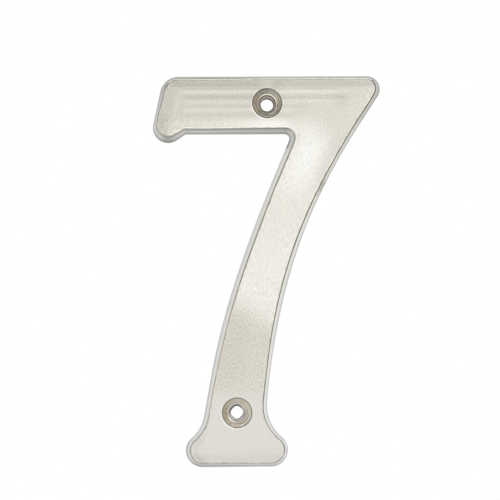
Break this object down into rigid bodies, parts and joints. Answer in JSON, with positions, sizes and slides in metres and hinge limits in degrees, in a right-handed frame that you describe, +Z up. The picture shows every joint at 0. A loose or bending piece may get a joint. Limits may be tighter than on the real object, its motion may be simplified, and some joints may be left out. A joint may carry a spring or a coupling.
{
  "type": "door number",
  "caption": "Cast metal door number seven with a beaked bar, a swept stem and a flared foot, satin nickel face, sloping sides and countersunk screw holes.",
  "frame": {"origin": "midway between the two screw holes, on the flat back", "axes": "+Z up the numeral, +X to the reader's right, +Y out of the back into the door; the face looks along -Y"},
  "size_m": [0.0595, 0.005, 0.1016],
  "materials": {
    "satin_nickel": "satin nickel plate, brushed along the strokes of the numeral"
  },
  "bodies": {
    "root": {"number_seven": "satin_nickel"}
  },
  "joints": []
}
